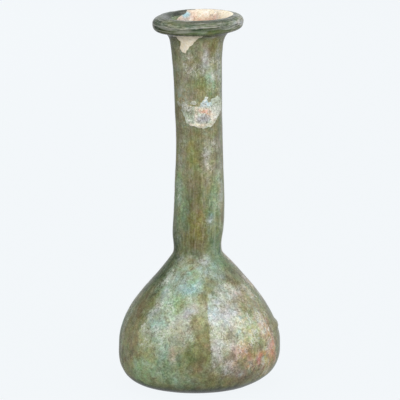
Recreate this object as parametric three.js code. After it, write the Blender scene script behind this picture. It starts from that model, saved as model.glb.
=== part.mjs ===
// A Roman glass perfume flask of the candlestick kind: a low, bell-shaped body, a tall neck, and a
// thick rim folded in on itself. It was blown from one gather, so it is one hollow solid that is
// open at the mouth. Millimetres, +Z up, origin on the ground under the middle of the body. The
// front is at -Y, with +X to its right.

import * as THREE from "three";

// ---- Driving dimensions: r is a distance from the axis, z a height above the ground ----------

// The underside is a flat ring to stand on, round a hollow pushed up into the middle.
const hollow = { r: 11, rise: 1.1 };
const foot = { r: 15.5, z: 0 };
// The widest place of the body.
const girth = { r: 32.75, z: 16.5 };
// The two ends of the shoulder's straight slope.
const shoulderLow = { r: 21.6, z: 39.3 };
const shoulderHigh = { r: 11.4, z: 51.3 };
// The neck is pinched where it leaves the body, swells above that and draws in at its waist.
const pinch = { r: 9.6, z: 55.3 };
const swell = { r: 10.2, z: 64 };
const waist = { r: 9.35, z: 103 };
const throat = { r: 10.5, z: 138.4 };
// The rim's outermost edge, and the circle along its top.
const rim = { r: 18.1, z: 147.4 };
const crest = { r: 14.1, z: 150 };

// Thickness of the glass.
const wall = { body: 1.9, neck: 2.2, floor: 2.6 };

// Hot glass strays from a true round. The girth and the rim stand higher at +X than at -X, which
// is a slope, and the middle of each level wanders: these are rows of height, x and y.
const girthTilt = 0.016;
const rimTilt = 0.025;
const wander = [
  [0, -2.0, 0],
  [6, -0.6, 0],
  [15, 0, 0],
  [30, -0.3, 0],
  [45, 0, 0.1],
  [57, -0.7, 0.3],
  [70, -0.15, 0.1],
  [96, 0.05, -0.4],
  [122, -0.5, -0.2],
  [138, -1.0, 0.2],
  [150, -0.45, 0.4],
];

const facets = 48; // round the axis

// ---- The profile ----------------------------------------------------------------------------

const at = ({ r, z }) => new THREE.Vector2(r, z);

// The same place with the glass thickness taken off, towards the axis.
const within = ({ r, z }, glass) => ({ r: r - glass, z });

const bend = (from, leave, arrive, to) => new THREE.CubicBezierCurve(from, leave, arrive, to);

// A curve between two places where the glass runs straight up, such as a swell and a waist.
function drawn(from, to) {
  const handle = 0.45 * (to.z - from.z);
  return bend(
    at(from),
    at({ r: from.r, z: from.z + handle }),
    at({ r: to.r, z: to.z - handle }),
    at(to),
  );
}

// The hollow under the body, from the axis to its edge, or the floor above it.
function dome(glass) {
  return new THREE.QuadraticBezierCurve(
    at({ r: 0, z: glass.floor + hollow.rise }),
    at({ r: 0.6 * hollow.r, z: glass.floor + hollow.rise }),
    at({ r: hollow.r, z: glass.floor }),
  );
}

// The curves from the foot up to the throat: of the outside when every thickness is zero, and of
// the inside with the thickness of the glass.
function side(glass) {
  const slope = at(shoulderHigh).sub(at(shoulderLow)).normalize();
  const inward = new THREE.Vector2(-slope.y, slope.x).multiplyScalar(glass.body);
  const low = at(shoulderLow).add(inward);
  const high = at(shoulderHigh).add(inward);
  const widest = within(girth, glass.body);
  const root = within(pinch, glass.neck);
  const top = within(throat, glass.neck);
  return {
    corner: bend(
      at({ r: foot.r, z: glass.floor }),
      at({ r: widest.r + 2, z: glass.floor }),
      at({ r: widest.r, z: glass.floor + 0.74 * (girth.z - glass.floor) }),
      at(widest),
    ),
    bell: bend(
      at(widest),
      at({ r: widest.r, z: girth.z + 8.1 }),
      low.clone().addScaledVector(slope, -5.5),
      low,
    ),
    fillet: bend(
      high,
      high.clone().addScaledVector(slope, 1.5),
      at({ r: root.r, z: root.z - 2 }),
      at(root),
    ),
    neckFoot: drawn(root, within(swell, glass.neck)),
    neckWaist: drawn(within(swell, glass.neck), within(waist, glass.neck)),
    neckTop: bend(
      at(within(waist, glass.neck)),
      at({ r: waist.r - glass.neck, z: waist.z + 16 }),
      at({ r: top.r - 0.9, z: top.z - 7 }),
      at(top),
    ),
  };
}

// The rim: up its underside, over the fold, and down the funnel of the mouth.
function lip() {
  const mouth = within(throat, wall.neck);
  return {
    underside: bend(
      at(throat),
      at({ r: throat.r + 1.2, z: throat.z + 8.5 }),
      at({ r: rim.r, z: rim.z - 6 }),
      at(rim),
    ),
    fold: bend(
      at(rim),
      at({ r: rim.r, z: rim.z + 1.7 }),
      at({ r: crest.r + 1.5, z: crest.z }),
      at(crest),
    ),
    funnel: bend(
      at(crest),
      at({ r: crest.r - 3, z: crest.z }),
      at({ r: mouth.r + 0.3, z: mouth.z + 7 }),
      at(mouth),
    ),
  };
}

// Points along a run of curves, a number of steps for each; a straight joins one to the next.
const trace = (curves, steps) =>
  Object.keys(steps).flatMap((name) => curves[name].getPoints(steps[name]));

// The closed profile: up the outside, over the rim, down the inside and across the floor.
function profile() {
  const outer = { body: 0, neck: 0, floor: 0 };
  const points = [
    ...dome(outer).getPoints(3),
    ...trace(side(outer), { corner: 9, bell: 7, fillet: 4, neckFoot: 3, neckWaist: 5, neckTop: 5 }),
    ...trace(lip(), { underside: 6, fold: 5, funnel: 6 }),
    ...trace(side(wall), {
      corner: 6,
      bell: 5,
      fillet: 3,
      neckFoot: 3,
      neckWaist: 4,
      neckTop: 4,
    }).reverse(),
    ...dome(wall).getPoints(3).reverse(),
  ];
  return points.filter((point, i) => i === 0 || !point.equals(points[i - 1]));
}

// ---- Out of round ---------------------------------------------------------------------------

const middleOf = new THREE.CubicInterpolant(
  wander.map(([z]) => z),
  wander.flatMap(([, x, y]) => [x, y]),
  2,
);

// Moves the vertices of a true round to where the hot glass settled.
function settle(geometry) {
  const { smoothstep } = THREE.MathUtils;
  const place = geometry.getAttribute("position");
  for (let i = 0; i < place.count; i++) {
    const [x, y, z] = [place.getX(i), place.getY(i), place.getZ(i)];
    const [middleX, middleY] = middleOf.evaluate(z);
    const body = smoothstep(z, foot.z, girth.z) * (1 - smoothstep(z, 25, pinch.z));
    const head = smoothstep(z, throat.z - 4, rim.z);
    place.setXYZ(i, x + middleX, y + middleY, z + x * (girthTilt * body + rimTilt * head));
  }
}

// ---- The flask ------------------------------------------------------------------------------

function blownGlass() {
  const glass = new THREE.LatheGeometry(profile(), facets);
  glass.rotateX(Math.PI / 2);
  settle(glass);
  glass.computeVertexNormals();
  return glass;
}

const weatheredGlass = new THREE.MeshStandardMaterial({
  color: 0x8a8f6c,
  roughness: 0.35,
  metalness: 0,
});

const flask = new THREE.Mesh(blownGlass(), weatheredGlass);
flask.name = "flask";

const part = new THREE.Group();
part.add(flask);

export default part;
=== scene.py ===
# %% [markdown]
# # A weathered glass perfume flask
#
# Roman glass blowers made slim flasks like this one for scented oil: a low bell of a body, a long
# neck, and a rim that is folded in on itself. After centuries in the ground the green glass has
# flaked into thin films that shine lavender, silver and turquoise, and crusts of cream and copper
# sit on top of them. The lesson spins the glass from one profile, lets it sag out of round as hot
# glass does, and then grows the weathering over it.
#
# The solid of the flask is loaded first. It could be measured again at every step, but its height
# is enough: that gives the length of a millimetre, and the whole lesson is written in millimetres.

# %% Load the solid as a fixed frame
import math
from types import SimpleNamespace

import bmesh
import bpy
import numpy as np
from mathutils import Matrix, Vector, noise
from mathutils.geometry import interpolate_bezier


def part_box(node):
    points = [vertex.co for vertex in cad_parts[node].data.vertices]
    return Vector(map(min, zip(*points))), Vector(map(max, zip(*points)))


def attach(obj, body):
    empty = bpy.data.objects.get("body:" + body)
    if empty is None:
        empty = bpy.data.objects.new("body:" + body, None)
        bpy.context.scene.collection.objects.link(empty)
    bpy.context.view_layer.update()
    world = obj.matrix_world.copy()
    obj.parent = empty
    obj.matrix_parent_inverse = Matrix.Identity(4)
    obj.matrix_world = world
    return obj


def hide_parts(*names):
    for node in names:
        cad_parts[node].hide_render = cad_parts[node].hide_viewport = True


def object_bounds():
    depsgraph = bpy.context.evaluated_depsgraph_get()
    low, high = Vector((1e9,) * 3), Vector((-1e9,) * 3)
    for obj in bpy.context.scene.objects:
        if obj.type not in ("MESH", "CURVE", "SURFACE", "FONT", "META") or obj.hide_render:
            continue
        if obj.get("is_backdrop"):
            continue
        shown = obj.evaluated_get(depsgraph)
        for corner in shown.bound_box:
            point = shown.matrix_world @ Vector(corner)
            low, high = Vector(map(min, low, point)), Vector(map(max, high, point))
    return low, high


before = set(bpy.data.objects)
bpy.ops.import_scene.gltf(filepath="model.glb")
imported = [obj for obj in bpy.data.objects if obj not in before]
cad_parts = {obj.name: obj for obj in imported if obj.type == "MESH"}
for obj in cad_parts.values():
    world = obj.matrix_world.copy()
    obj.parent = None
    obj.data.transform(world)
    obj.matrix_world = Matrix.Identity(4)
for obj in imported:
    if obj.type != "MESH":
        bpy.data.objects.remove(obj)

solid_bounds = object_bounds()
low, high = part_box("flask")
SOLID_HEIGHT = 150.35  # millimetres
MM = (high.z - low.z) / SOLID_HEIGHT  # a millimetre, in metres
print(f"the solid stands {high.z - low.z:.4f} m tall, and a millimetre is {MM:.6f} m")

# %% [markdown]
# ## The profile
#
# A blown vessel is nearly round, so half of its section says almost everything about it. It could
# be drawn by eye as a long list of points, but a few places joined by curves are easier to read
# and to change: the foot, the girth, the shoulder, the pinch where the neck begins, and the rim.
# They are the same places as in the solid.

# %% The places that the profile passes through, as radius and height in millimetres
HOLLOW = (11, 1.1)  # the underside is pushed up inside this radius, by this much
FOOT_RING = 15.5
GIRTH = (32.75, 16.5)
SHOULDER_LOW = (21.6, 39.3)
SHOULDER_HIGH = (11.4, 51.3)
PINCH = (9.6, 55.3)
SWELL = (10.2, 64)
WAIST = (9.35, 103)
THROAT = (10.5, 138.4)
RIM = (18.1, 147.4)
CREST = (14.1, 150)
BODY_WALL, NECK_WALL, FLOOR = 1.9, 2.2, 2.6
MOUTH = (THROAT[0] - NECK_WALL, THROAT[1])
print(f"{CREST[1]} mm tall, {2 * GIRTH[0]} mm wide and {2 * RIM[0]} mm across the rim")

# %% [markdown]
# ## The curves between the places
#
# Straight lines between the places would leave corners all the way up. Bezier curves leave one
# place and arrive at the next in the direction in which the glass runs there, so the joins don't
# show. The inside is the same run of curves, moved in by the thickness of the glass.


# %% Curves for the outside, the lip, the funnel of the mouth and the inside
def drawn(start, end):
    """A curve between two places where the glass runs straight up."""
    handle = 0.45 * (end[1] - start[1])
    return start, (start[0], start[1] + handle), (end[0], end[1] - handle), end


def dome(floor):
    """The pushed-up middle of the base, from the axis to its edge."""
    radius, rise = HOLLOW
    level = floor + rise
    return (0, level), (0.4 * radius, level), (0.73 * radius, level - 0.33 * rise), (radius, floor)


def side(body, neck, floor):
    """The curves from the foot ring to the throat, with the glass thickness taken off."""
    slope = (Vector(SHOULDER_HIGH) - Vector(SHOULDER_LOW)).normalized()
    inward = Vector((-slope.y, slope.x)) * body
    shoulder_low = Vector(SHOULDER_LOW) + inward
    shoulder_high = Vector(SHOULDER_HIGH) + inward
    girth = (GIRTH[0] - body, GIRTH[1])
    pinch = (PINCH[0] - neck, PINCH[1])
    swell = (SWELL[0] - neck, SWELL[1])
    waist = (WAIST[0] - neck, WAIST[1])
    throat = (THROAT[0] - neck, THROAT[1])
    corner_top = floor + 0.74 * (girth[1] - floor)
    lower, upper = (shoulder_low.lerp(shoulder_high, part) for part in (0.3, 0.7))
    return [
        ((FOOT_RING, floor), (girth[0] + 2, floor), (girth[0], corner_top), girth),
        (girth, (girth[0], girth[1] + 8.1), shoulder_low - 5.5 * slope, shoulder_low),
        (shoulder_low, lower, upper, shoulder_high),
        (shoulder_high, shoulder_high + 1.5 * slope, (pinch[0], pinch[1] - 2), pinch),
        drawn(pinch, swell),
        drawn(swell, waist),
        (waist, (waist[0], waist[1] + 16), (throat[0] - 0.9, throat[1] - 7), throat),
    ]


OUTSIDE = [dome(0), *side(0, 0, 0)]
LIP = [
    (THROAT, (THROAT[0] + 1.2, THROAT[1] + 8.5), (RIM[0], RIM[1] - 6), RIM),
    (RIM, (RIM[0], RIM[1] + 1.7), (CREST[0] + 1.5, CREST[1]), CREST),
]
FUNNEL = [(CREST, (CREST[0] - 3, CREST[1]), (MOUTH[0] + 0.3, MOUTH[1] + 7), MOUTH)]
INSIDE = [dome(FLOOR), *side(BODY_WALL, NECK_WALL, FLOOR)]
print(f"the profile is {len(OUTSIDE + LIP + FUNNEL + INSIDE)} curves")

# %% [markdown]
# ## From curves to a row of points
#
# Equal steps all along the profile would be the simplest. But the outside carries all the fine
# relief, so its points lie close together, and the inside is seen only through the mouth, so it
# gets wider steps. That keeps the whole piece under 200,000 triangles.


# %% Points along the curves
def trace(curves, step):
    """Points along a run of curves, about this many millimetres apart."""
    points = []
    for curve in curves:
        ends = [Vector((radius, 0, height)) for radius, height in curve]
        rough_length = sum((b - a).length for a, b in zip(ends, ends[1:]))
        points += interpolate_bezier(*ends, max(3, round(rough_length / step)))
    return points


def without_doubles(points):
    """The same points without those that repeat the one before."""
    kept = points[:1]
    for point in points[1:]:
        if (point - kept[-1]).length > 0.01:
            kept.append(point)
    return kept


OUTER_STEP, LIP_STEP, INNER_STEP = 0.68, 0.5, 2.4
outer = trace(OUTSIDE, OUTER_STEP) + trace(LIP, LIP_STEP)
profile = without_doubles(outer + trace(FUNNEL, LIP_STEP) + trace(INSIDE, INNER_STEP)[::-1])
outer_count = len(without_doubles(outer))
print(f"the profile has {len(profile)} points, {outer_count} of them outside")

# %% [markdown]
# ## Spinning the glass
#
# A Screw modifier or a Spin would both turn the profile into a vessel. The bmesh spin is used
# because a layer of numbers on its vertices spins with them: each point keeps its place along the
# profile, which later tells the outside from the inside. The two ends of the profile meet on the
# axis, so their doubles are merged there before the normals are worked out.

# %% Spin the profile
COLUMNS = 240  # round the axis


def spin_glass(points):
    """A closed, round vessel in millimetres. Its vertices know their place along the profile."""
    glass = bmesh.new()
    order = glass.verts.layers.float.new("order")
    row = [glass.verts.new(point) for point in points]
    for index, vert in enumerate(row):
        vert[order] = index
    edges = [glass.edges.new(pair) for pair in zip(row, row[1:])]
    bmesh.ops.spin(
        glass,
        geom=row + edges,
        axis=(0, 0, 1),
        angle=math.tau,
        steps=COLUMNS,
        use_merge=True,
    )
    bmesh.ops.remove_doubles(glass, verts=glass.verts, dist=1e-4)
    bmesh.ops.recalc_face_normals(glass, faces=glass.faces)
    return glass


spun = spin_glass(profile)
mesh = bpy.data.meshes.new("flask_glass")
spun.to_mesh(mesh)
spun.free()
mesh.shade_smooth()
print(f"{len(mesh.vertices)} vertices and {sum(len(p.vertices) - 2 for p in mesh.polygons)} triangles")

# %% [markdown]
# ## Where each vertex is
#
# The next steps ask of every vertex how far round the flask it is, how high it is, and whether it
# is on the outside. A loop could ask each vertex in turn, but arrays answer for the whole mesh at
# once, and that is much quicker.

# %% Places on the flask
place = np.empty(len(mesh.vertices) * 3)
mesh.vertices.foreach_get("co", place)
place = place.reshape(-1, 3)
order = np.empty(len(place))
mesh.attributes["order"].data.foreach_get("value", order)
outside = order < outer_count
inner = ~outside
radius = np.hypot(place[:, 0], place[:, 1])
azimuth = np.degrees(np.arctan2(place[:, 0], -place[:, 1]))  # 0 in front, 90 at +X
height = place[:, 2].copy()
print(f"{outside.sum()} vertices lie on the outside")

# %% [markdown]
# ## Out of round
#
# Glass that is swung and rolled by hand never ends up true. The middle of each level wanders a
# little, and the girth and the rim tilt. A Lattice modifier could bend it too, but its moves would
# be hard to match to the solid's. These repeat them, so the glass stays where it should be.

# %% Lean and tilt
WANDER = np.array(  # height, then x and y of the middle at that height
    [
        (0, -2.0, 0),
        (6, -0.6, 0),
        (15, 0, 0),
        (30, -0.3, 0),
        (45, 0, 0.1),
        (57, -0.7, 0.3),
        (70, -0.15, 0.1),
        (96, 0.05, -0.4),
        (122, -0.5, -0.2),
        (138, -1.0, 0.2),
        (150, -0.45, 0.4),
    ]
)
GIRTH_TILT, RIM_TILT = 0.016, 0.025  # each is a slope, up towards +X


def ease(value, start, end):
    """0 up to start, 1 from end, and a smooth step between."""
    t = np.clip((value - start) / (end - start), 0, 1)
    return t * t * (3 - 2 * t)


def smooth_line(levels, values, at):
    """A smooth curve through values at levels."""
    slopes = np.zeros_like(values)
    slopes[1:-1] = (values[2:] - values[:-2]) / (levels[2:] - levels[:-2])
    i = np.clip(np.searchsorted(levels, at) - 1, 0, len(levels) - 2)
    gap = levels[i + 1] - levels[i]
    t = (at - levels[i]) / gap
    from_start = (2 * t**3 - 3 * t**2 + 1) * values[i] + (t**3 - 2 * t**2 + t) * gap * slopes[i]
    from_end = (3 * t**2 - 2 * t**3) * values[i + 1] + (t**3 - t**2) * gap * slopes[i + 1]
    return from_start + from_end


body_part = ease(height, 0, GIRTH[1]) * (1 - ease(height, 25, PINCH[1]))
head_part = ease(height, THROAT[1] - 4, RIM[1])
settled = place.copy()
settled[:, 0] += smooth_line(WANDER[:, 0], WANDER[:, 1], height)
settled[:, 1] += smooth_line(WANDER[:, 0], WANDER[:, 2], height)
settled[:, 2] += place[:, 0] * (GIRTH_TILT * body_part + RIM_TILT * head_part)
mesh.vertices.foreach_set("co", settled.ravel())
mesh.update()
print("the glass now spans", settled.min(0).round(2), "to", settled.max(0).round(2), "mm")

# %% [markdown]
# ## The finishes
#
# The colours of weathered glass come in layers. Underneath is the glass, olive to sea green, with
# brown stains. Over it lie thin films that shine like mother of pearl, and here and there a thick
# crust. Every patch could carry a colour of its own, but then the flask would be hard to retint,
# so each finish is one colour by name and is used in many places.

# %% Finishes of the glass and of what has grown on it, as red, green and blue from 0 to 255
FINISHES = {
    "olive": (130, 130, 82),
    "moss": (118, 132, 74),
    "amber": (148, 132, 74),
    "brown": (118, 106, 74),
    "sea": (118, 150, 116),
    "grey": (140, 142, 122),
    "bottle": (62, 86, 54),
    # ink serves mostly as painted shade, and also as the darkest glass of the lip
    "ink": (46, 56, 42),
    "silver": (180, 188, 170),
    "lavender": (174, 172, 176),
    "turquoise": (132, 172, 152),
    "sky": (156, 188, 198),
    "mint": (146, 176, 128),
    "straw": (192, 190, 136),
    "cream": (238, 226, 202),
    "rose": (206, 182, 164),
    "copper": (204, 146, 108),
    "stone": (150, 152, 124),
    # steel serves only the painted sheen on the rim
    "steel": (132, 136, 138),
    "hay": (168, 166, 124),
    "umber": (98, 94, 46),
    "lichen": (150, 154, 76),
    "pearl": (198, 204, 206),
    "chalk": (234, 232, 224),
}


def light_of(finish):
    """The amounts of red, green and blue light that a finish sends back."""
    return (np.array(FINISHES[finish]) / 255) ** 2.2


print(f"{len(FINISHES)} finishes")

# %% [markdown]
# ## Where the glass changes colour
#
# Noise alone would spread the finishes evenly, but on a real flask each has its place: the rim is
# dark, the films are brightest on the shoulder, and brown earth clings low down. Painting the mesh
# by hand would put them there too. A short list of soft patches does it in a few lines, and can be
# read. A patch has a middle, given by azimuth in degrees and height in millimetres, then a half
# width and a half height in millimetres, and a strength. A later patch lies over an earlier one.
# A few dark washes are painted shade: under the rim, along the crest, at the left end of the rim, at both
# edges of the shoulder, at the left edge of the body and round the foot. Two grey ones down the right edge
# of the neck are partly painted reflection.

# %% Washes of colour in the glass, and painted shade: finish, azimuth, height, half width, half height, strength
WASHES_AND_PAINTED_SHADE = [
    # the rim, and the neck just under it
    ("bottle", 0, 147, 90, 4.5, 1.0),
    ("moss", 0, 145.4, 90, 0.8, 0.5),
    # painted shade: a dark line under the rim, where it overhangs the neck
    ("ink", 0, 143.8, 90, 1.0, 1.0),
    # painted shade: the dark left end of the rim
    ("ink", -86, 148, 9, 4, 1.0),
    # painted shade: a dark line along the crest's inner edge
    ("ink", 0, 150, 24, 0.7, 0.9),
    ("ink", 10, 147.4, 12, 0.5, 0.7),
    ("bottle", -57, 137, 4, 6, 0.9),
    ("grey", 2, 139, 4, 4, 0.8),
    ("amber", 32, 140, 4, 3, 0.7),
    ("grey", 16, 133, 3, 4, 0.6),
    ("moss", -76, 125, 2.4, 16, 0.8),
    ("hay", -44, 126, 4, 12, 0.6),
    # partly painted reflection: a grey strip down the right edge of the neck
    ("grey", 62, 127, 3, 12, 0.8),
    ("moss", 34, 125, 3, 6, 0.6),
    ("amber", 4, 121, 3, 4, 0.7),
    ("grey", -30, 126, 4, 8, 0.6),
    # the neck below the pearly crust
    ("hay", -50, 84, 4, 26, 0.8),
    ("brown", -35, 103, 5, 6, 0.7),
    ("brown", 12, 101, 4, 7, 0.5),
    ("lichen", -20, 96, 2.4, 6, 0.8),
    # partly painted reflection: the grey strip down the right edge of the neck
    ("grey", 64, 97, 3, 14, 0.8),
    ("amber", 26, 83, 2, 3, 0.8),
    ("olive", -6, 77, 4, 9, 0.8),
    ("umber", -6, 66, 4, 10, 0.8),
    ("brown", -22, 76, 2, 9, 0.7),
    ("amber", 4, 68, 3, 6, 0.8),
    ("sea", 34, 78, 3, 6, 0.8),
    ("sea", -56, 74, 4, 12, 0.6),
    ("moss", 40, 66, 4, 8, 0.5),
    ("bottle", -62, 60, 3, 7, 0.6),
    ("sea", 52, 57, 4, 6, 0.6),
    ("brown", -4, 57.5, 4, 3, 0.6),
    # the shoulder
    # painted shade: the dark left and right edges of the shoulder, in the next four washes
    ("ink", -92, 44, 7, 12, 0.9),
    ("bottle", -68, 46, 5, 10, 1.0),
    ("bottle", -62, 39, 4, 5, 0.9),
    ("ink", 96, 40, 6, 12, 0.8),
    ("bottle", -8, 53.5, 3, 2, 0.7),
    ("sea", 44, 50, 5, 5, 0.8),
    ("brown", 44, 43, 5, 4, 0.9),
    ("moss", 22, 41, 5, 3, 0.6),
    ("bottle", 62, 49, 3, 5, 0.6),
    # the body
    # painted shade: the dark left edge of the body
    ("bottle", -92, 20, 6, 14, 0.6),
    ("moss", -64, 31, 6, 8, 0.7),
    ("brown", -62, 33, 4, 6, 0.9),
    ("moss", -50, 25, 5, 8, 0.7),
    ("hay", 3, 34, 3, 6, 1.0),
    ("hay", -2, 26, 4, 5, 0.5),
    ("amber", 3, 23, 3.5, 6, 0.7),
    ("brown", 0, 18, 6, 6, 0.7),
    ("brown", 4, 12, 6, 4, 0.7),
    ("moss", -8, 19, 4, 6, 0.6),
    ("sea", -24, 12, 8, 8, 0.8),
    ("hay", -48, 18, 8, 9, 0.9),
    ("brown", 40, 10, 10, 6, 1.0),
    # painted shade: a dark band round the foot, where the body turns under
    ("ink", 0, 2.6, 110, 1.8, 0.9),
]
print(f"{len(WASHES_AND_PAINTED_SHADE)} washes")

# %% [markdown]
# ## Where the films lie
#
# The films are the layers that the ground has split from the glass, each thinner than paper. They
# could be a second skin of mesh, but a skin that thin would flicker through the glass. They are
# colour and a little relief on the same surface, in patches like those of the washes.
# Some pale films are partly painted reflection: the softboxes' pale shapes on the front of the body, a
# grey line along its left edge and a strip down the right edge of the neck.

# %% Films on the glass, some of them partly painted reflection, in the same form
FILMS_AND_PAINTED_REFLECTIONS = [
    # the neck, from the rim down to the pearly crust
    ("stone", -52, 124, 3, 14, 0.7),
    ("lavender", 18, 134, 2.0, 4, 0.7),
    ("stone", -24, 129, 4, 7, 0.6),
    # partly painted reflection down the right edge of the neck
    ("silver", 60, 126, 2, 10, 0.6),
    ("mint", 34, 124, 2, 5, 0.6),
    # the neck below it, and one patch more above it
    ("stone", -48, 90, 3, 24, 0.6),
    ("lavender", 18, 95, 1.6, 7, 0.6),
    ("stone", 28, 96, 2.4, 8, 0.7),
    ("silver", 30, 129, 2, 6, 0.4),
    ("mint", -42, 73, 2.4, 5, 0.5),
    ("rose", 17, 89, 1.6, 4, 0.4),
    ("stone", -20, 84, 3, 5, 0.6),
    ("mint", -55, 79, 2.5, 9, 0.7),
    ("mint", 38, 77, 2.2, 7, 0.75),
    ("turquoise", -30, 73, 2, 6, 0.6),
    ("sky", 24, 68.5, 1.8, 2.6, 0.8),
    # partly painted reflection down the right edge of the neck
    ("silver", 62, 80, 1.6, 12, 0.7),
    # the shoulder
    ("lavender", -30, 52, 3, 2.2, 0.6),
    ("lavender", 10, 52, 3, 2, 0.6),
    ("sky", 2, 49.4, 2, 2.4, 0.7),
    ("turquoise", -46, 45, 3, 4, 0.6),
    ("silver", -49, 46, 1.6, 2.6, 0.7),
    ("mint", -10, 46.5, 4, 4, 0.7),
    ("turquoise", -8, 43, 4, 4, 0.8),
    ("sky", -26, 43, 5, 4, 0.75),
    ("turquoise", -38, 40, 5, 3, 0.7),
    ("sky", 22, 47.5, 4, 4, 0.6),
    ("mint", 28, 40.5, 3, 2, 0.3),
    ("mint", -20, 38, 3, 3, 0.7),
    ("stone", 60, 39, 5, 4, 0.3),
    # the body, left of its middle
    ("lavender", -7, 36, 2.6, 2.2, 0.9),
    ("silver", -9, 33, 2.6, 5, 0.5),
    ("lavender", -13, 34, 2.6, 2.6, 0.8),
    # partly painted reflection: the pale shape of the left softbox
    ("silver", -32, 33, 6, 5, 0.75),
    ("lavender", -42, 34, 2.4, 6, 0.5),
    ("mint", -24, 36, 4, 4, 0.6),
    ("turquoise", -36, 27, 4, 6, 0.75),
    # partly painted reflection: the pale shape of the left softbox
    ("silver", -24, 28, 6, 4, 0.55),
    ("silver", -9, 27, 3, 4, 0.6),
    ("straw", -47, 18, 5, 6, 0.5),
    ("mint", -38, 14, 5, 9, 0.8),
    ("turquoise", -28, 19, 4, 5, 0.5),
    ("turquoise", -16, 10, 6, 3, 0.45),
    ("copper", -19, 19, 1.2, 3, 0.4),
    ("copper", -3, 14, 2, 2, 0.35),
    ("mint", -46, 8, 10, 5, 0.9),
    ("hay", -66, 16, 4, 8, 0.7),
    # partly painted reflection: a grey line along the left edge of the body
    ("silver", -76, 22, 2, 9, 0.7),
    # and right of it
    # partly painted reflection: the next six films are the pale shape of the right softbox, which begins
    # at the strip's straight edge
    ("pearl", 28, 34, 7, 6, 0.9),
    ("pearl", 34, 29, 5, 5, 0.7),
    ("silver", 13, 33, 3, 5, 0.6),
    ("lavender", 20, 34, 5, 4, 0.6),
    ("sky", 12, 35, 2, 4, 0.4),
    ("silver", 17, 27, 5, 5, 0.6),
    ("lavender", 14, 21, 4, 4, 0.5),
    ("lavender", 17, 16, 4, 4, 0.4),
    ("rose", 52, 37, 6, 3, 0.25),
    ("straw", 42, 27, 6, 5, 0.5),
    ("mint", 50, 27, 4, 5, 0.6),
    ("straw", 38, 22, 4, 3, 0.5),
    ("rose", 26, 19, 4, 3, 0.5),
    ("copper", 38, 16, 6, 3.6, 0.9),
    ("copper", 64, 18, 3.4, 9, 1.0),
    ("copper", 58, 26, 1.6, 4, 0.7),
    ("rose", 58, 25, 3, 6, 0.8),
    ("lavender", 24, 12, 5, 2.6, 0.5),
    ("stone", 62, 34, 4, 5, 0.8),
    ("copper", 56, 11, 5, 4, 0.6),
]
print(f"{len(FILMS_AND_PAINTED_REFLECTIONS)} films")

# %% [markdown]
# ## A painted sheen on the rim, and what has gone elsewhere
#
# Hands and cloths have rubbed the rim nearly clean of films. Over its upper half lies a painted
# steely sheen, which stands in for the reflection of the overhead lamp; the lamp's own gloss lies on
# top of it. In a few other places the films have flaked off and the glass shows, and at the left end
# of the rim, the left edge of the shoulder and round the foot they are cleared so that painted shade
# shows. The films there could have been left out of the list above, but they overlap, so it is
# easier to clear a place afterwards.

# %% The painted sheen on the rim, in the same form
PAINTED_RIM_SHEEN = [
    ("steel", -4, 148.4, 9, 0.8, 0.1),
    ("steel", 30, 148.0, 8, 0.8, 0.2),
    ("silver", -44, 148.2, 7, 0.9, 0.5),
    ("silver", -24, 147.8, 6, 0.6, 0.3),
    ("steel", -120, 149, 16, 2.0, 0.5),
    ("steel", 130, 149, 16, 2.0, 0.4),
    ("lavender", 74, 147.8, 5, 1.8, 0.9),
    ("silver", 56, 148.4, 4, 0.6, 0.4),
    ("silver", -68, 148.6, 2.4, 0.4, 0.8),
]
print(f"{len(PAINTED_RIM_SHEEN)} places on the rim keep a sheen")

# %% Places that are bare of films again, some cleared so that painted shade shows: a patch without a finish
BARE_GLASS_AND_PAINTED_SHADE = [
    # cleared so that the painted shade at the rim's left end shows
    (-86, 148, 10, 3, 1.0),
    (-8, 76, 5, 13, 0.8),
    (-6, 66, 4, 9, 0.6),
    # cleared so that the painted shade at the shoulder's left edge shows
    (-72, 44, 5, 9, 0.5),
    # cleared so that the painted shade round the foot shows
    (0, 2.2, 110, 2.4, 0.8),
]
print(f"{len(BARE_GLASS_AND_PAINTED_SHADE)} places are bare again")

# %% [markdown]
# ## Laying the soft patches
#
# Each patch is an ellipse on the unrolled surface. A plain ellipse would look printed on, so noise
# pulls its edge about, and no two look alike. The back gets the same finishes at random. The
# random numbers have a seed, so they come out the same each time.


# %% Lay the washes
def around_from(middle):
    """Millimetres round the glass from this azimuth to each vertex."""
    return np.radians((azimuth - middle + 180) % 360 - 180) * radius


def away_from(middle, level, half_width, half_height):
    """How far each vertex is from the middle of an ellipse, where 1 is on the ellipse."""
    return np.hypot(around_from(middle) / half_width, (height - level) / half_height)


def grain(size, seed):
    """Smooth noise for each vertex, about -0.5 to 0.5, with features of this many millimetres."""
    return np.array([noise.noise(spot) for spot in settled / size + 13.7 * seed])


def share(patch, softness=0.95):
    """How much of this patch, given without its finish, each vertex gets."""
    *ellipse, strength = patch
    return strength * ease(-away_from(*ellipse) - warp, -1 - softness, -1 + softness)


def lay(finish, amount, colours):
    """Moves the colour of each vertex towards a finish."""
    colours += amount[:, None] * (light_of(finish) - colours)


def scattered(finishes, count, seed):
    """Patches at random places round the back."""
    dice = np.random.default_rng(seed)
    patches = []
    for _ in range(count):
        level = dice.uniform(2, 140)
        width = dice.uniform(3, 8) if level < 50 else dice.uniform(1.5, 4)
        finish = finishes[dice.integers(len(finishes))]
        turn = dice.uniform(85, 275)
        patches.append((finish, turn, level, width, dice.uniform(2, 10), dice.uniform(0.4, 0.9)))
    return patches


warp = 0.7 * grain(6, 1) + 0.4 * grain(2.5, 2)
glass_colour = np.tile(light_of("olive"), (len(place), 1))
back_washes = ["olive", "moss", "amber", "brown", "sea", "grey"]
for finish, *patch in scattered(back_washes, 60, 5) + WASHES_AND_PAINTED_SHADE:
    lay(finish, share(patch), glass_colour)
print(f"the glass is {glass_colour.mean(0).round(3)} on average, as red, green and blue light")

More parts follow.
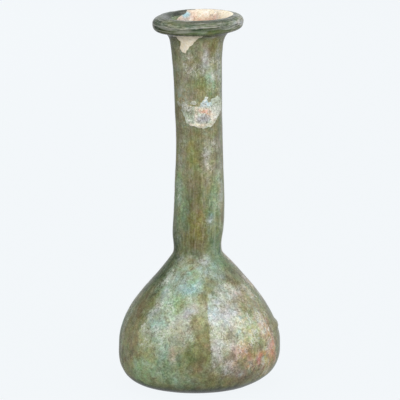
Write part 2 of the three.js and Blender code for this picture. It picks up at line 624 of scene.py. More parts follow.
# %% Lay the films
# The strip's straight right edge is where pale films begin that are partly a painted reflection of the
# right softbox.
STRIP_AND_PAINTED_REFLECTION_EDGE = 7.8  # azimuth at which the bare strip down the front broke off straight
RIM_FOOT = 141  # the height at which the looks of the neck begin to give way to the rim's

film_colour = np.tile(light_of("stone"), (len(place), 1))
film = np.full(len(place), 0.25)
back_films = ["silver", "lavender", "turquoise", "mint", "stone", "straw", "rose"]
for finish, *patch in scattered(back_films, 90, 6) + FILMS_AND_PAINTED_REFLECTIONS:
    amount = share(patch)
    lay(finish, amount, film_colour)
    film += 0.85 * amount * (1 - film)  # films pile up, but never past 1

strip_start = -12 * (1 - ease(height, 16, 30))  # the strip is wider low on the body
strip = ease(azimuth, strip_start - 6, strip_start + 4)
strip *= 1 - ease(azimuth, STRIP_AND_PAINTED_REFLECTION_EDGE, STRIP_AND_PAINTED_REFLECTION_EDGE + 1)
film *= 1 - 0.8 * strip * ease(height, 8, 20) * (1 - ease(height, 35, 41))
film *= 1 - 0.8 * ease(height, RIM_FOOT, RIM_FOOT + 2)  # the rim was rubbed clean
# The painted sheen: steel, silver and lavender over the rim's upper half, standing in for the overhead
# lamp's reflection.
for finish, *patch in PAINTED_RIM_SHEEN:
    amount = share(patch, 0.3)
    lay(finish, amount, film_colour)
    film += amount * (1 - film)
# Some bare places clear the films so that painted shade shows.
for patch in BARE_GLASS_AND_PAINTED_SHADE:
    film *= 1 - share(patch)
print(f"films cover {np.mean(film[outside] > 0.5):.0%} of the outside")

# %% [markdown]
# ## Crusts with a broken edge
#
# A crust is thicker than a film and flakes off along a sharp edge, so an ellipse won't do. It could
# be cut from a mesh of its own, but it has to follow every wave of the glass. Here it gets an
# outline, and the signed distance to the outline tells how deep inside it a vertex lies: that one
# number gives the colour its edge, and later gives the crust its thickness.

# %% Outlines of the crusts: a finish, then corners by azimuth and height
UNDER_THE_RIM = [
    (-40, 144),
    (9, 144),
    (-6, 140.6),
    (-17, 138.7),
    (-25, 136.6),
    (-33, 136.6),
    (-40, 138),
    (-35, 140),
    (-40, 142),
]
ROUND_THE_NECK = [
    (-62, 116),
    (-3, 117),
    (14, 120),
    (30, 117.5),
    (66, 119),
    (76, 114),
    (44, 108.5),
    (31, 106.5),
    (-7, 106.5),
    (-32, 108.5),
    (-42, 112),
]
CRUSTS = [("cream", UNDER_THE_RIM), ("silver", ROUND_THE_NECK)]
print("crusts:", ", ".join(f"{finish} with {len(corners)} corners" for finish, corners in CRUSTS))

# %% Stains on the pearly crust round the neck, in the same form as the washes
CRUST_STAINS = [
    ("grey", -44, 114.6, 5, 3, 1.0),
    ("sea", -30, 111.5, 3, 2.4, 0.3),
    ("grey", -18, 114.5, 2.4, 3, 0.8),
    ("stone", 64, 114, 2.5, 4, 0.8),
    ("cream", -6, 112, 0.7, 4, 0.7),
    ("sky", 20, 116.6, 2.6, 1.8, 0.8),
    ("copper", 14, 113.4, 2.2, 0.9, 0.8),
    ("copper", 26, 112, 1.3, 1.1, 0.7),
    ("lavender", 10, 110.2, 2.8, 1.6, 0.9),
    ("cream", 38, 110.4, 1.2, 2, 0.8),
    ("cream", -4, 107.3, 9, 0.6, 1.0),
    ("silver", 55, 115, 3, 4, 0.8),
]
print(f"{len(CRUST_STAINS)} stains on the pearly crust")


# %% Grow the crusts
def depth_inside(corners):
    """How many millimetres inside an outline each vertex lies; below 0 it is outside."""
    middle = np.mean([turn for turn, level in corners])
    across = around_from(middle)
    nearest = np.full(len(across), 1e3)
    within = np.zeros(len(across), bool)
    for (turn, level), (next_turn, next_level) in zip(corners, corners[1:] + corners[:1]):
        start = np.radians(turn - middle) * radius
        run = np.radians(next_turn - turn) * radius
        rise = next_level - level
        along = ((across - start) * run + (height - level) * rise) / (run**2 + rise**2 + 1e-9)
        along = np.clip(along, 0, 1)
        gap = np.hypot(across - start - along * run, height - level - along * rise)
        nearest = np.minimum(nearest, gap)
        crosses = (level > height) != (next_level > height)
        within ^= crosses & (across < start + (height - level) / (rise or 1) * run)
    return np.where(within, nearest, -nearest)


crust_colour = np.tile(light_of("silver"), (len(place), 1))
crust_depth = np.full(len(place), -9.0)  # far outside every crust, to begin with
chips = 0.5 * grain(2.2, 3) + 0.3 * grain(1.0, 4)
# The pearly crust is eaten away in places, up from its middle.
eaten = 2.2 * ease(grain(2, 5), -0.05, 0.3) * ease(height, 112, 116) * (height < 122)
for finish, corners in CRUSTS:
    depth = depth_inside(corners) + chips - eaten
    crust_colour[depth > -1] = light_of(finish)
    crust_depth = np.maximum(crust_depth, depth)
for finish, *patch in CRUST_STAINS:
    lay(finish, share(patch, 0.4), crust_colour)
print(f"crusts cover {np.mean(crust_depth[outside] > 0):.1%} of the outside")

# %% [markdown]
# ## The mouth and the inside
#
# The funnel of the mouth is caked with cream, with orange and lilac in it. Above the cake the bare
# dark glass of the lip shows, and it reaches furthest down on the left. An outline like those
# outside would be seen only at its top, so the cake gets an upper limit for each azimuth instead.
# Further in, the wall is stained brown.
# A small blue glint on the far edge of the lip is a painted highlight.

# %% Stains and a painted glint in the mouth, and how high the cake reaches
MOUTH_STAINS_AND_GLINT = [
    ("cream", 120, 146, 16, 8, 1.0),
    ("rose", -160, 145, 12, 6, 0.9),
    ("copper", 175, 145, 6, 3, 0.5),
    ("copper", -175, 142, 4, 3, 0.6),
    ("lavender", -145, 144, 5, 3, 0.8),
    # painted glint: a small blue highlight on the far edge of the lip
    ("sky", -153, 148.6, 1.6, 0.8, 1.0),
]
CAKED_UP_TO = [  # azimuth and height
    (-180, 150.5),
    (-161, 150),
    (-150, 148.8),
    (-130, 147.8),
    (-90, 146),
    (-60, 147),
    (-30, 148.6),
    (60, 149.2),
    (90, 150.5),
    (180, 150.5),
]
LIP_EDGE = 148.6  # the lip's inner edge is bare above this height
print(f"{len(MOUTH_STAINS_AND_GLINT)} stains in the mouth")

# %% The inside
glass_colour[inner] = light_of("brown")
glass_colour[inner & (height > 140)] = light_of("bottle")
film_colour[inner] = light_of("stone")
film[inner] = 0.45
lip_edge = inner & (height > LIP_EDGE)
glass_colour[lip_edge] = light_of("ink")
film[lip_edge] = 0
cake_top = np.interp(azimuth, *zip(*CAKED_UP_TO)) + 0.5 * grain(3, 6)
caked = ease(height, 128, 140) * (1 - ease(height, cake_top - 0.5, cake_top))
crust_depth[inner] = (5 * caked - 1.6 + 2 * grain(4, 7))[inner]
crust_colour[inner] = light_of("cream")
for finish, *patch in MOUTH_STAINS_AND_GLINT:
    lay(finish, share(patch, 0.8) * inner, crust_colour)
print(f"the cake reaches {cake_top.min():.1f} to {cake_top.max():.1f} mm")

# %% [markdown]
# ## Relief
#
# The crusts stand proud by a quarter of a millimetre, the films by less, and the glass itself is
# wavy and has the long ridges that come from drawing out the neck. A bump map would shade all this
# and leave the outline smooth, and a Displace modifier would need a texture for each. Here each
# vertex moves along its own normal, by a sum of noises.

# %% Raise the surface
NECK_FOOT = 58  # the height from which the looks are wholly the neck's
LEDGES = [  # azimuth, height, half width, half height and how far it stands out, in millimetres
    (88, 23.2, 8, 1.8, 0.6),
    (84, 36, 5, 1.6, 0.3),
]


def drawn_grain(size, length, seed):
    """Noise that is drawn out upwards by a factor of length, as the glass was."""
    turned = np.radians(azimuth)
    places = np.column_stack([10 * np.sin(turned), 10 * np.cos(turned), height / length]) / size
    return np.array([noise.noise(spot) for spot in places + 13.7 * seed])


crust_share = ease(crust_depth, -0.15, 0.35)
relief = 0.22 * grain(16, 8) + 0.07 * grain(5, 9)
up_the_neck = ease(height, NECK_FOOT - 8, NECK_FOOT)
relief += 0.10 * drawn_grain(2.2, 9, 10) * up_the_neck
relief += 0.03 * drawn_grain(1.1, 8, 11) * up_the_neck
relief += 0.05 * film * (0.5 + grain(1.2, 12))
relief += crust_share * (0.24 + 0.14 * grain(1.3, 13))
for *ellipse, out in LEDGES:
    relief += out * ease(-away_from(*ellipse), -1, -0.3)
relief *= ease(height, 0.5, 2)  # the foot ring stays flat
relief[inner] *= 0.5

normals = np.empty(len(place) * 3)
mesh.vertex_normals.foreach_get("vector", normals)
settled += normals.reshape(-1, 3) * relief[:, None]
mesh.vertices.foreach_set("co", settled.ravel())
mesh.update()
print(f"relief from {relief.min():.2f} to {relief.max():.2f} mm")

# %% [markdown]
# ## Specks, cracks and polish
#
# Some stretches of film have broken into specks of many colours, some are full of fine pale
# cracks, and the rim is still glossy. All of it is finer than the mesh, so the material will draw
# it. The mesh only says where, by three more numbers for each vertex.

# %% Where the films break into specks of many colours, and where they are cracked
SPECKLED = [
    (54, 22, 10, 16, 1.0),
    (38, 15, 8, 6, 0.9),
    (70, 32, 6, 10, 0.8),
    (0, 113, 16, 9, 1.0),
]
CRACKED = [
    (30, 28, 16, 11, 1.0),
    (60, 24, 12, 16, 0.8),
    (-38, 30, 9, 12, 0.7),
    (-50, 46, 3, 5, 0.9),
    (-34, 14, 10, 6, 0.5),
    (14, 14, 6, 6, 0.5),
    (10, 131, 6, 10, 0.9),
    (56, 126, 5, 14, 0.9),
    (30, 90, 6, 12, 0.6),
    (20, 68, 6, 8, 0.6),
    (-60, 80, 4, 24, 0.6),
]
print(f"{len(SPECKLED)} speckled places and {len(CRACKED)} cracked ones")


# %% Specks, cracks and polish for each vertex
def strongest(patches, least):
    """The strongest share that any of these patches gives each vertex."""
    return np.maximum.reduce([np.full(len(place), least)] + [share(patch, 0.8) for patch in patches])


behind = ease(np.abs(azimuth), 75, 95)  # the lists name places in front; the back gets some too
flecks = strongest(SPECKLED, 0.15) + 0.6 * behind * ease(grain(9, 14), 0.05, 0.35)
cracked = strongest(CRACKED, 0.2) + 0.8 * behind * ease(grain(12, 15), -0.1, 0.3)
rim_polish = 0.9 * ease(height, RIM_FOOT, RIM_FOOT + 2)
neck_part = ease(height, NECK_FOOT - 6, NECK_FOOT) * (1 - ease(height, RIM_FOOT - 3, RIM_FOOT))
polish = rim_polish + 0.25 * neck_part
polish[inner] = 0.2
print(f"specks on {np.mean(flecks > 0.5):.0%} of the flask, cracks on {np.mean(cracked > 0.5):.0%}")

# %% [markdown]
# ## The way the streaks run
#
# Streaks in the glass follow the blower's hands: up the drawn neck, and round the rolled rim. Noise
# stretched along Z would give the first and miss the second. So each vertex gets a second place in
# which the noise is looked up, and that place climbs slowly where the streaks run up, and fast
# where they run round.

# %% A place for each vertex in which streaks are drawn out
BANDS = np.array([0, NECK_FOOT - 8, NECK_FOOT, RIM_FOOT, RIM_FOOT + 3, 151])  # heights
LENGTHS = np.array([2.5, 3, 3.2, 1.5, 0.5])  # how far streaks are drawn upwards in each band
on_rim = ease(height, RIM_FOOT, RIM_FOOT + 3)
turned = np.radians(azimuth)
width = 20 - 17 * on_rim  # small on the rim, so the same noise goes further round it
climb = np.interp(height, BANDS, np.cumsum([0, *np.diff(BANDS) / LENGTHS]))
climb -= 2 * (radius - 16) * on_rim  # and on over the top of the rim
drawn_out = np.column_stack([width * np.sin(turned), width * np.cos(turned), climb])
print(f"the streaks' own places climb from {climb.min():.1f} to {climb.max():.1f}")

# %% [markdown]
# ## Handing the numbers to the material
#
# Everything so far is in arrays, which a material can't see. A UV map would carry two numbers for
# each corner. An attribute carries any number, vector or colour for each vertex, and goes by name,
# so each array becomes one.


# %% Keep the fields on the mesh
def keep(name, kind, values):
    """Stores a number, a vector or a colour for each vertex."""
    layer = mesh.attributes.new(name, kind, "POINT")
    part = {"FLOAT": "value", "FLOAT_VECTOR": "vector", "FLOAT_COLOR": "color"}[kind]
    layer.data.foreach_set(part, np.asarray(values, np.float32).ravel())


def opaque(colours):
    """The same colours with an alpha of one."""
    return np.column_stack([colours, np.ones(len(colours))])


# glass_colour carries painted shade at the edges, under the rim and round the foot, and film_colour and
# film carry the painted rim sheen and partly painted reflections
keep("glass_colour", "FLOAT_COLOR", opaque(glass_colour))
keep("film_colour", "FLOAT_COLOR", opaque(film_colour))
keep("crust_colour", "FLOAT_COLOR", opaque(crust_colour))
keep("film", "FLOAT", film)
keep("crust", "FLOAT", np.clip(0.5 + crust_depth, 0, 1))
keep("flecks", "FLOAT", flecks)
keep("cracked", "FLOAT", cracked)
keep("polish", "FLOAT", polish)
keep("drawn_out", "FLOAT_VECTOR", drawn_out)
mesh.attributes.remove(mesh.attributes["order"])
print(f"the mesh carries {len(mesh.attributes)} attributes")

# %% [markdown]
# ## The finished piece
#
# The object could be scaled down from millimetres, but a scale on an object is easily lost. The
# mesh itself is scaled, so the object sits at the origin, unturned and unscaled. It takes the
# place of the plain solid, and moves with the same body.

# %% Put the glass in the place of the solid
flask = bpy.data.objects.new("flask_glass", mesh)
bpy.context.scene.collection.objects.link(flask)
mesh.transform(Matrix.Scale(MM, 4))
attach(flask, "root")
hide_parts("flask")
print("the flask measures", *(f"{side_length * 1000:.1f}" for side_length in flask.dimensions), "mm")

# %% [markdown]
# ## Short ways to make nodes
#
# A material is a tree of nodes. In the editor each is dragged out and wired by hand. In a script
# each could take a line for itself, one for every value and one for every wire, and the sense would
# be lost among them. A few helpers bring a node down to one call that reads like the sum it makes.


# %% Small helpers for node trees
def add_node(tree, kind, inputs=None, **settings):
    """A node with its settings made and its inputs set or linked."""
    made = tree.nodes.new("ShaderNode" + kind)
    for name, value in settings.items():
        setattr(made, name, value)
    for name, value in (inputs or {}).items():
        if isinstance(value, bpy.types.NodeSocket):
            tree.links.new(value, made.inputs[name])
        else:
            made.inputs[name].default_value = value
    return made


def field(tree, name, output="Fac"):
    """A field kept on the mesh."""
    return add_node(tree, "Attribute", attribute_name=name).outputs[output]


def calc(tree, operation, a, b):
    """One sum on two numbers or sockets."""
    return add_node(tree, "Math", {0: a, 1: b}, operation=operation).outputs[0]


def times(tree, a, b):
    """The product of two numbers or sockets."""
    return calc(tree, "MULTIPLY", a, b)


def total(tree, *values):
    """The sum of several sockets."""
    result = values[0]
    for value in values[1:]:
        result = calc(tree, "ADD", result, value)
    return result


def step(tree, value, low, high, at_low=0.0, at_high=1.0):
    """A smooth step of value between low and high."""
    inputs = {"Value": value, "From Min": low, "From Max": high, "To Min": at_low, "To Max": at_high}
    return add_node(tree, "MapRange", inputs, interpolation_type="SMOOTHSTEP").outputs["Result"]


print("nodes that multiply, add up and step are ready")


# %% Helpers for noise and colour
def speckle(tree, vector, size, detail=3, roughness=0.6, twist=0.0):
    """Noise from 0 to 1 with features of this many millimetres; a twist draws it into threads."""
    inputs = {"Vector": vector, "Scale": 1 / size, "Detail": detail, "Roughness": roughness}
    return add_node(tree, "TexNoise", {**inputs, "Distortion": twist}).outputs["Fac"]


def swing(tree, noise_value, amount):
    """Noise from 0 to 1 turned into a swing either side of zero."""
    return times(tree, calc(tree, "SUBTRACT", noise_value, 0.5), amount)


def mix(tree, factor, a, b, blend="MIX"):
    """Two colours mixed."""
    made = add_node(tree, "Mix", {0: factor, 6: a, 7: b}, data_type="RGBA", blend_type=blend)
    return made.outputs[2]


def shift(tree, colour, hue, value):
    """A colour with its hue and its value moved by sockets."""
    return add_node(tree, "HueSaturation", {"Hue": hue, "Value": value, "Color": colour}).outputs[0]


def flat(finish):
    """A finish as one colour, with an alpha of one."""
    return (*light_of(finish), 1)


print("nodes that speckle, swing, mix and shift are ready")

# %% [markdown]
# ## The noises that the layers share
#
# Glass, film and crust have aged together, so where one is thin the next often shows. If each layer
# had noises of its own, nothing would line up. One set of noises, from dust of half a millimetre to
# soft clouds of a centimetre, serves them all, and so do the fields from the mesh.


# %% Noises and fields
def shared_noises(tree):
    """The place on the flask in millimetres, and the noises and fields that several layers read."""
    where = add_node(tree, "TexCoord").outputs["Object"]
    spot = add_node(tree, "VectorMath", {0: where, "Scale": 1 / MM}, operation="SCALE").outputs[0]
    drawn_out = field(tree, "drawn_out", "Vector")
    return SimpleNamespace(
        spot=spot,
        drawn_out=drawn_out,
        dust=speckle(tree, spot, 0.6, 2, 0.6, 1.5),
        fine=speckle(tree, spot, 1.4, 3, 0.55, 1.5),
        medium=speckle(tree, spot, 3.5, 3),
        broad=speckle(tree, spot, 10, 2),
        streaks=speckle(tree, drawn_out, 1.5, 4),
        scratches=speckle(tree, drawn_out, 0.5, 2, 0.7),
        polish=field(tree, "polish"),
        flecks=field(tree, "flecks"),
        cracked=field(tree, "cracked"),
    )


material = bpy.data.materials.new("weathered_glass")
material.use_nodes = True
glass_tree = material.node_tree
shared = shared_noises(glass_tree)
print(f"{len(vars(shared))} noises and fields in common")

# %% [markdown]
# ## Glass and film
#
# The glass is streaky, as its gather was never stirred quite even. The film over it thins to a
# grain rather than fading, so noise is added to its thickness before a step makes it a veil. Real
# film gets its colours from its thickness; a shader with a thin film would change them with the
# view, so plain colours that lean to one tint and another are steadier.

# %% The glass and the veil over it
HUE_KEPT = 0.5  # the hue that a Hue/Saturation node leaves a colour with


def clouded_hue(tree, shared, reach):
    """A hue that drifts either way by this much."""
    clouds = total(tree, shared.medium, swing(tree, shared.broad, 1))
    return step(tree, clouds, 0.25, 0.75, HUE_KEPT - reach, HUE_KEPT + reach)


def glass_layer(tree, shared):
    """The colour of the glass, with its streaks."""
    tone = step(tree, shared.streaks, 0.3, 0.7, 0.75, 1.2)
    return shift(tree, field(tree, "glass_colour", "Color"), clouded_hue(tree, shared, 0.03), tone)


def film_veil(tree, shared):
    """How much of the film there is at each spot, with scratches through it where it is polished."""
    veil = total(tree, field(tree, "film"), swing(tree, shared.fine, 0.7), swing(tree, shared.medium, 0.4))
    worn = times(tree, swing(tree, shared.scratches, 3), step(tree, shared.polish, 0.2, 0.9))
    return step(tree, total(tree, veil, swing(tree, shared.streaks, 0.6), worn), -0.15, 1.2)


glass = glass_layer(glass_tree, shared)
shared.veil = film_veil(glass_tree, shared)
print(f"glass and veil: {len(glass_tree.nodes)} nodes so far")

# %% [markdown]
# ## Specks in the film
#
# Where the film has shattered, each speck shows the colour of its own thickness. Noise has no
# flat places, so it can't give specks. Voronoi cells are flat, and a ramp with hard stops gives
# each cell one pearly hue. Their sides are straight, which glass never is, so the place in which
# the cells are looked up is shaken first.

# %% The film and its specks
FLECK_HUES = ["straw", "lavender", "mint", "copper", "sky", "rose", "silver", "amber"]
FLECK_SIZE = 1.3


def shaken(tree, spot, amount):
    """The same place moved about by noise, so that the cells made on it have ragged sides."""
    push = add_node(tree, "TexNoise", {"Vector": spot, "Scale": 1}).outputs["Color"]
    return mix(tree, amount, spot, push, "ADD")


def fleck_colours(tree, spot):
    """Cells, each in one of the pearly hues."""
    ragged = shaken(tree, spot, 0.35)
    cells = add_node(tree, "TexVoronoi", {"Vector": ragged, "Scale": 1 / FLECK_SIZE})
    pick = add_node(tree, "SeparateColor", {0: cells.outputs["Color"]}).outputs[0]
    ramp = add_node(tree, "ValToRGB", {0: pick})
    ramp.color_ramp.interpolation = "CONSTANT"
    stops = ramp.color_ramp.elements
    for index, finish in enumerate(FLECK_HUES):
        stop = stops[index] if index < 2 else stops.new(1)  # a new ramp already has two stops
        stop.position = index / len(FLECK_HUES)
        stop.color = flat(finish)
    return ramp.outputs["Color"]


def film_layer(tree, shared):
    """The colour of the film, with specks where the mesh asks for them."""
    tone = step(tree, shared.fine, 0.3, 0.7, 0.94, 1.05)
    film = shift(tree, field(tree, "film_colour", "Color"), clouded_hue(tree, shared, 0.04), tone)
    flecked = times(tree, shared.flecks, step(tree, shared.medium, 0.3, 0.7, 0.1, 0.4))
    return mix(tree, flecked, film, fleck_colours(tree, shared.spot))


filmed = mix(glass_tree, shared.veil, glass, film_layer(glass_tree, shared))
print(f"{len(FLECK_HUES)} pearly hues in specks of {FLECK_SIZE} mm")

# %% [markdown]
# ## Tints, grain and pale cracks
#
# Close to, old glass is never smooth. Two tints drift over it, a fine salt and pepper lies on what
# is rough, and pale lines run where a film has lifted. A line could be the thin edge between two
# Voronoi cells, but those close up into a net. The places where a noise passes through its middle
# value make lines that wander and end.

# %% What lies over glass and film alike
LILAC, SAND = (0.45, 0.48, 0.7, 1), (0.54, 0.52, 0.3, 1)
BLUSH, MINERAL = (0.6, 0.45, 0.5, 1), (0.4, 0.55, 0.5, 1)


def leaning(tree, colour, turn, one, other):
    """The colour made to lean to one tint or to the other, as thin films do."""
    tint = mix(tree, step(tree, turn, 0.36, 0.64), one, other)
    return mix(tree, 0.22, colour, tint, "OVERLAY")


def salt_and_pepper(tree, shared):
    """Grain from dark to pale: dust where the flask is rough, scratches where it is polished."""
    dusty = times(tree, total(tree, shared.dust, shared.fine), 1 / 2)
    scratched = step(tree, shared.polish, 0.1, 0.8, 0.1, 0.5)
    return step(tree, mix(tree, scratched, dusty, shared.scratches), 0.34, 0.66)


def strands(tree, spot, size, width, twist):
    """Thin pale lines, in patches, where a film has lifted or cracked."""
    wander = speckle(tree, spot, size, 2, 0.5, twist)
    ridge = calc(tree, "ABSOLUTE", swing(tree, wander, 1), 0)
    patchy = step(tree, speckle(tree, spot, 4.7, 2), 0.42, 0.6)
    reach = 0.36 * width / size  # how far the noise strays from its middle across such a line
    return times(tree, step(tree, ridge, 0.3 * reach, reach, 1, 0), patchy)


def cracks_and_glint_streaks(tree, shared, colour):
    """Pale cracks where the film is broken, and pale lines along the streaks on the rim, which are partly
    painted glints of its sheen.
    """
    pale = step(tree, times(tree, shared.veil, shared.cracked), 0, 0.6, 0.05, 0.45)
    colour = mix(tree, times(tree, shared.broken, pale), colour, flat("chalk"))
    # pale lines where the flask is polished, mostly on the rim: partly painted glints of its sheen
    lines = strands(tree, shared.drawn_out, 4, 0.8, 0.6)
    return mix(tree, times(tree, lines, times(tree, shared.polish, 0.4)), colour, flat("chalk"))


shared.salt = salt_and_pepper(glass_tree, shared)
shared.broken = total(
    glass_tree,
    strands(glass_tree, shared.spot, 3.2, 0.3, 1.2),
    strands(glass_tree, shared.spot, 1.6, 0.3, 2.0),
)
shared.gaps = step(glass_tree, speckle(glass_tree, shared.spot, 1.2, 3, 0.7), 0.3, 0.4, 0.3, 0)
print(f"tints, grain and cracks: {len(glass_tree.nodes)} nodes so far")

# %% Glass and film, put together
weathered = leaning(glass_tree, filmed, speckle(glass_tree, shared.spot, 4, 2), LILAC, SAND)
weathered = leaning(glass_tree, weathered, speckle(glass_tree, shared.spot, 2.4, 2), BLUSH, MINERAL)
# Cracked places are rough and take most of the grain, and polished ones take the least.
roughened = calc(glass_tree, "SUBTRACT", calc(glass_tree, "ADD", shared.cracked, 1), shared.polish)
salted = step(glass_tree, roughened, 0, 2, 0.15, 0.45)
weathered = mix(glass_tree, salted, weathered, shared.salt, "OVERLAY")
weathered = cracks_and_glint_streaks(glass_tree, shared, weathered)
weathered = mix(glass_tree, shared.gaps, weathered, flat("brown"))
print(f"glass and film together: {len(glass_tree.nodes)} nodes so far")

# %% [markdown]
# ## The crust
#
# The crust hides the glass. It has a chipped edge, and the pearly one round the neck is broken into
# shards that each catch the light in their own way. The shards could be modelled, but they are flush
# with each other: cells of colour, with brown cracks between them, say the same.

# %% The crust and its shards
SHARD_SIZE = 1.5


def shards(tree, colour, spot, amount):
    """A crust broken into shards that catch the light differently, and the cracks between them."""
    cell_inputs = {"Vector": shaken(tree, spot, 0.8), "Scale": 1 / SHARD_SIZE}
    cells = add_node(tree, "TexVoronoi", cell_inputs)
    tone = add_node(tree, "SeparateColor", {0: cells.outputs["Color"]})
    hue = times(tree, swing(tree, tone.outputs[0], 0.05), amount)
    value = times(tree, swing(tree, tone.outputs[1], 0.45), amount)
    toned = shift(tree, colour, calc(tree, "ADD", hue, HUE_KEPT), calc(tree, "ADD", value, 1))
    sides = add_node(tree, "TexVoronoi", cell_inputs, feature="DISTANCE_TO_EDGE")
    cracks = times(tree, step(tree, sides.outputs["Distance"], 0.02, 0.12, 0.45, 0), amount)
    return mix(tree, cracks, toned, flat("brown")), cracks


def crust_layer(tree, shared):
    """The colour of the crust, and the cracks in it."""
    crust, cracks = shards(tree, field(tree, "crust_colour", "Color"), shared.spot, shared.flecks)
    crust = mix(tree, step(tree, shared.flecks, 0, 1, 0.3, 0.6), crust, shared.salt, "OVERLAY")
    pale = times(tree, shared.broken, step(tree, shared.flecks, 0, 1, 0, 0.6))
    crust = mix(tree, pale, crust, flat("chalk"))
    return mix(tree, shared.gaps, crust, flat("brown")), cracks


crust_edge = total(glass_tree, field(glass_tree, "crust"), swing(glass_tree, shared.fine, 0.5))
crusted = step(glass_tree, crust_edge, 0.42, 0.58)
crust, cracks = crust_layer(glass_tree, shared)
print(f"the crust, in shards of {SHARD_SIZE} mm: {len(glass_tree.nodes)} nodes so far")

# %% [markdown]
# ## Gloss, light through the glass, and the finest relief
#
# The same layers settle the rest. Film and crust are dull and let hardly any light through, while
# bare glass is glossy and lets in a little. Relief finer than the mesh could be had from more
# triangles, but a piece would need millions of them, so a bump gives it.

# %% The shader
SHINY, DULL = 0.16, 0.6  # roughness
CLEARNESS = 0.2  # of bare glass
BUMP_DEPTH = 0.1  # millimetres

shader = glass_tree.nodes["Principled BSDF"]
shader.inputs["Specular IOR Level"].default_value = 0.3
glass_tree.links.new(mix(glass_tree, crusted, weathered, crust), shader.inputs["Base Color"])

covered = calc(glass_tree, "MAXIMUM", times(glass_tree, shared.veil, 0.6), crusted)
dulled = times(glass_tree, covered, step(glass_tree, shared.polish, 0, 1, 1, 0.3))
glass_tree.links.new(step(glass_tree, dulled, 0, 1, SHINY, DULL), shader.inputs["Roughness"])
clear = step(glass_tree, covered, 0, 0.7, CLEARNESS, 0.0)
glass_tree.links.new(clear, shader.inputs["Transmission Weight"])

film_thickness = times(glass_tree, shared.veil, 0.5)
thick = total(glass_tree, crusted, film_thickness, swing(glass_tree, shared.fine, 0.8))
thick = calc(glass_tree, "SUBTRACT", thick, times(glass_tree, cracks, crusted))
bump = add_node(glass_tree, "Bump", {"Strength": 0.5, "Distance": BUMP_DEPTH * MM, "Height": thick})
glass_tree.links.new(bump.outputs[0], shader.inputs["Normal"])
mesh.materials.append(material)
print(f"the whole material is {len(glass_tree.nodes)} nodes")

# %% [markdown]
# ## The camera
#
# A short lens close by would make the tall neck taper and the rim look large. A long lens from over
# a metre away, a little above, keeps the flask's own proportions and shows into its mouth.


# %% Camera
def aim(thing, spot):
    """Turns a lamp or a camera towards a place."""
    away = thing.location - spot
    thing.rotation_euler = away.to_track_quat("Z", "Y").to_euler()


CENTRE = Vector((0.28, 0, 74.84)) * MM  # what the camera and the lamps look at
ELEVATION = math.radians(13)
DISTANCE = 1.2  # metres
LENS = 268.8  # millimetres
camera = bpy.data.objects.new("camera", bpy.data.cameras.new("camera"))
camera.data.lens = LENS
camera.location = CENTRE + DISTANCE * Vector((0, -math.cos(ELEVATION), math.sin(ELEVATION)))
aim(camera, CENTRE)
bpy.context.scene.collection.objects.link(camera)
bpy.context.scene.camera = camera
print(f"the camera stands {DISTANCE} m away, {camera.location.z:.2f} m above the floor")

# %% [markdown]
# ## The room
#
# Glossy glass mirrors all that is round it, so the room is part of its shared. A plain white world
# would wash the gloss out. The world is pale to the camera alone; to the glass it is a soft dim
# room, brighter above, and darker on the left, where the edges of rim and shoulder turn dark.

# %% Studio world
PALE = (0.888, 0.922, 0.947, 1)
ROOM_LIGHT = (0.95, 0.98, 1, 1)
bpy.context.scene.view_settings.view_transform = "Standard"


def studio_world():
    """Pale to the camera, and to everything else a soft dim room with a darker left side."""
    world = bpy.data.worlds.new("studio")
    world.use_nodes = True
    tree = world.node_tree
    seen = tree.nodes["Background"]
    seen.inputs["Color"].default_value = PALE
    way = add_node(tree, "TexCoord").outputs["Generated"]
    way = add_node(tree, "SeparateXYZ", {0: way})
    upwards = step(tree, way.outputs["Z"], -0.5, 0.8, 0.52, 0.82)
    level = times(tree, upwards, step(tree, way.outputs["X"], -0.9, 0.2, 0.3, 1))
    room = add_node(tree, "Background", {"Color": ROOM_LIGHT, "Strength": level})
    to_camera = add_node(tree, "LightPath").outputs["Is Camera Ray"]
    both = add_node(tree, "MixShader", {0: to_camera, 1: room.outputs[0], 2: seen.outputs[0]})
    tree.links.new(both.outputs[0], tree.nodes["World Output"].inputs["Surface"])
    return world


bpy.context.scene.world = studio_world()
print(f"the room is {len(bpy.context.scene.world.node_tree.nodes)} nodes")

# %% [markdown]
# ## The floor
#
# A white floor would come out grey where the light falls off, and its far edge would show against
# the world. This one is nearly black and glows in the world's own colour, so it melts into it and
# takes only a faint shadow. It doesn't light the flask from below.


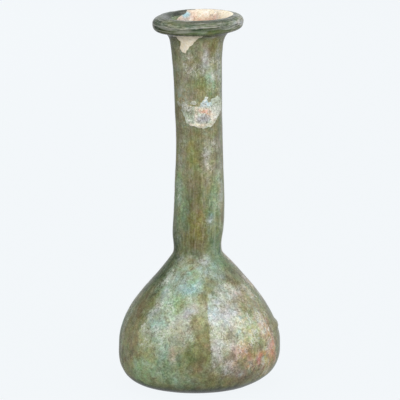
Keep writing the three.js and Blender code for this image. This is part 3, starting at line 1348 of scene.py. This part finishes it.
# %% Floor
def studio_floor():
    """A wide pale floor that takes a faint shadow."""
    disc = bmesh.new()
    bmesh.ops.create_circle(disc, cap_ends=True, radius=20, segments=96)
    sheet = bpy.data.meshes.new("floor")
    disc.to_mesh(sheet)
    disc.free()
    floor = bpy.data.objects.new("floor", sheet)
    paint = bpy.data.materials.new("pale_floor")
    paint.use_nodes = True
    shader = paint.node_tree.nodes["Principled BSDF"]
    shader.inputs["Base Color"].default_value = (0.02, 0.02, 0.02, 1)
    shader.inputs["Roughness"].default_value = 1
    shader.inputs["Specular IOR Level"].default_value = 0
    shader.inputs["Emission Color"].default_value = PALE
    shader.inputs["Emission Strength"].default_value = 0.98
    sheet.materials.append(paint)
    bpy.context.scene.collection.objects.link(floor)
    floor.visible_diffuse = False
    floor.visible_glossy = False
    floor.visible_transmission = False
    floor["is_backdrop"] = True
    return floor


print(f"the floor is {studio_floor().dimensions.x:.0f} m across")

# %% [markdown]
# ## The lamps
#
# Small lamps would dot the glass with hard sparks. Softboxes are wide, so their reflections are
# soft: one overhead puts the sheen on the rim, and one on each side of the front lights the body.
# The fourth lights the back. From the front its reflection would edge the rim and the shoulder in
# white, so it isn't mirrored.


# %% Lamps
def softbox(name, spot, size, watts, mirrored=True):
    """A rectangular lamp that faces the flask; it shows in the gloss only where it is mirrored."""
    lamp = bpy.data.lights.new(name, "AREA")
    lamp.shape = "RECTANGLE"
    lamp.size, lamp.size_y = size
    lamp.energy = watts
    thing = bpy.data.objects.new(name, lamp)
    thing.location = spot
    thing.visible_glossy = mirrored
    aim(thing, CENTRE)
    bpy.context.scene.collection.objects.link(thing)


softbox("top_softbox", (0, 0.1, 0.8), (0.7, 0.5), 1.6)
softbox("right_softbox", (0.5, -0.7, 0.4), (0.45, 0.6), 3.5)
softbox("left_softbox", (-0.5, -0.7, 0.4), (0.4, 0.6), 3.2)
softbox("back_softbox", (-0.3, 0.9, 0.5), (0.6, 0.6), 4, mirrored=False)
print(f"{sum(lamp.energy for lamp in bpy.data.lights):.1f} W in {len(bpy.data.lights)} softboxes")

# %% [markdown]
# ## The sizes of solid and flask
#
# The dressed flask must stay as large as the solid, or it wouldn't fit where the solid fits. The
# two boxes are measured and printed side by side.

# %% Measure the solid and the dressed flask
flask_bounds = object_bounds()
sizes = {
    "solid": [list(corner) for corner in solid_bounds],
    "dressed": [list(corner) for corner in flask_bounds],
}
for name, corners in sizes.items():
    print(name, [[round(length / MM, 2) for length in corner] for corner in corners], "mm")
